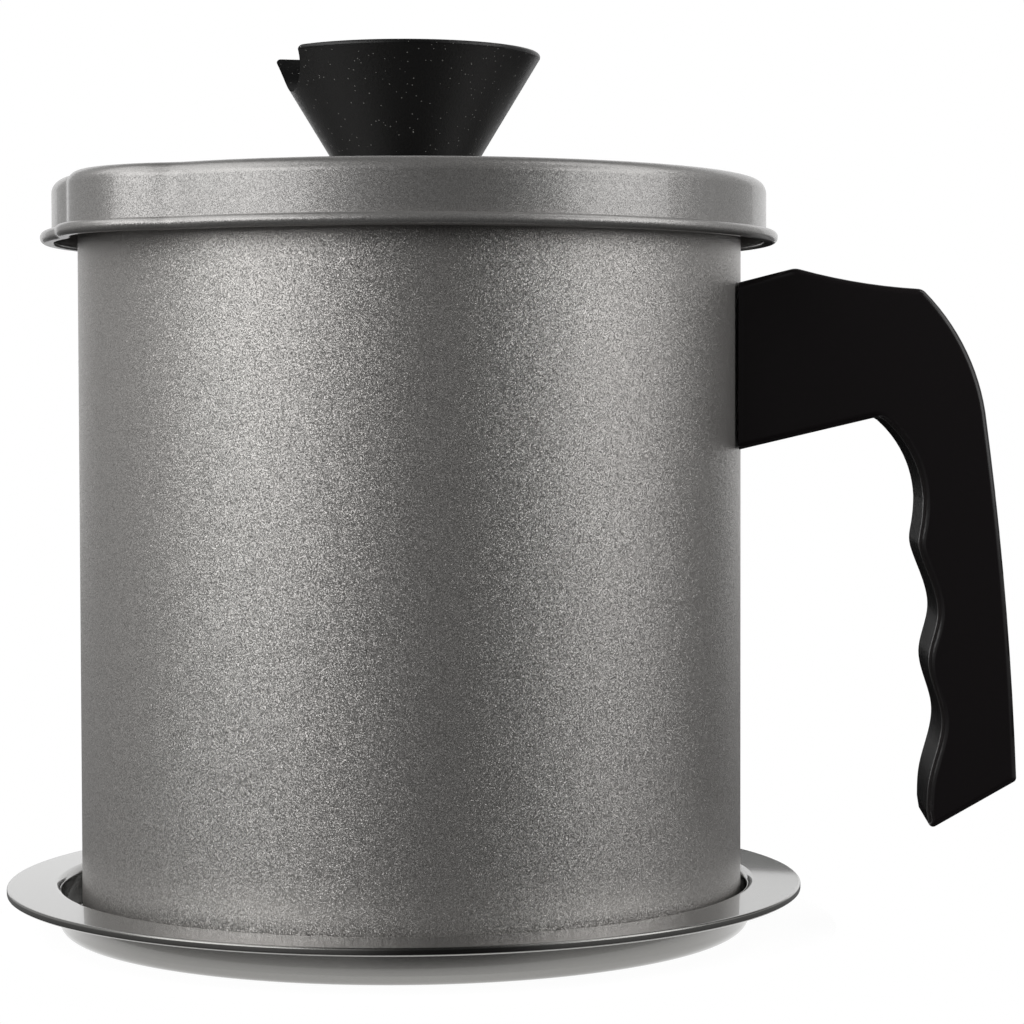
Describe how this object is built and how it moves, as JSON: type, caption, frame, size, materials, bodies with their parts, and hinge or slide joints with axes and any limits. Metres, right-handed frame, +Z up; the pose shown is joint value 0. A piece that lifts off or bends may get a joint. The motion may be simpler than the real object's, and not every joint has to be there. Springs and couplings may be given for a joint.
{
  "type": "bacon grease container",
  "caption": "Round lidded steel pot for kept frying grease, with a lift-out mesh strainer, a pouring lip, an open moulded side handle, a conical lid knob and a drip tray.",
  "frame": {"origin": "on the pot's axis at table level, in the middle of the face that the drip tray stands on (the tray's own centre sits 1.3 mm towards -X)", "axes": "+Z up along the pot's axis, +X from the pot's axis towards the side handle, +Y to the left of someone who looks along +X"},
  "size_m": [0.1791, 0.142, 0.1556],
  "materials": {
    "body_coat": "dark warm grey non-stick coat with fine metallic flakes",
    "tray_coat": "smooth grey non-stick coat",
    "handle_moulding": "satin-gloss black phenolic",
    "knob_moulding": "fine pebbled matt black phenolic",
    "insert_brass": "turned",
    "fixing_steel": "bright zinc",
    "strainer_steel": "polished stainless sheet",
    "mesh_steel": "fine woven stainless wire"
  },
  "bodies": {
    "drip_tray": {"tray": "tray_coat"},
    "pot": {"pot_body": "body_coat", "handle_bracket": "fixing_steel", "bracket_nut": "fixing_steel", "handle": "handle_moulding", "handle_screw": "fixing_steel"},
    "strainer": {"strainer_rim": "strainer_steel", "strainer_mesh": "mesh_steel", "strainer_band": "strainer_steel"},
    "lid": {"lid_shell": "body_coat", "knob": "knob_moulding", "knob_insert": "insert_brass", "knob_screw": "fixing_steel", "knob_washer": "fixing_steel"}
  },
  "joints": [
    {"name": "pot_lift", "type": "slide", "parent": "drip_tray", "child": "pot", "axis": [0, 0, 1], "range_m": [0, 0.06]},
    {"name": "strainer_lift", "type": "slide", "parent": "pot", "child": "strainer", "axis": [0, 0, 1], "range_m": [0, 0.07]},
    {"name": "lid_lift", "type": "slide", "parent": "strainer", "child": "lid", "axis": [0, 0, 1], "range_m": [0, 0.08]}
  ]
}
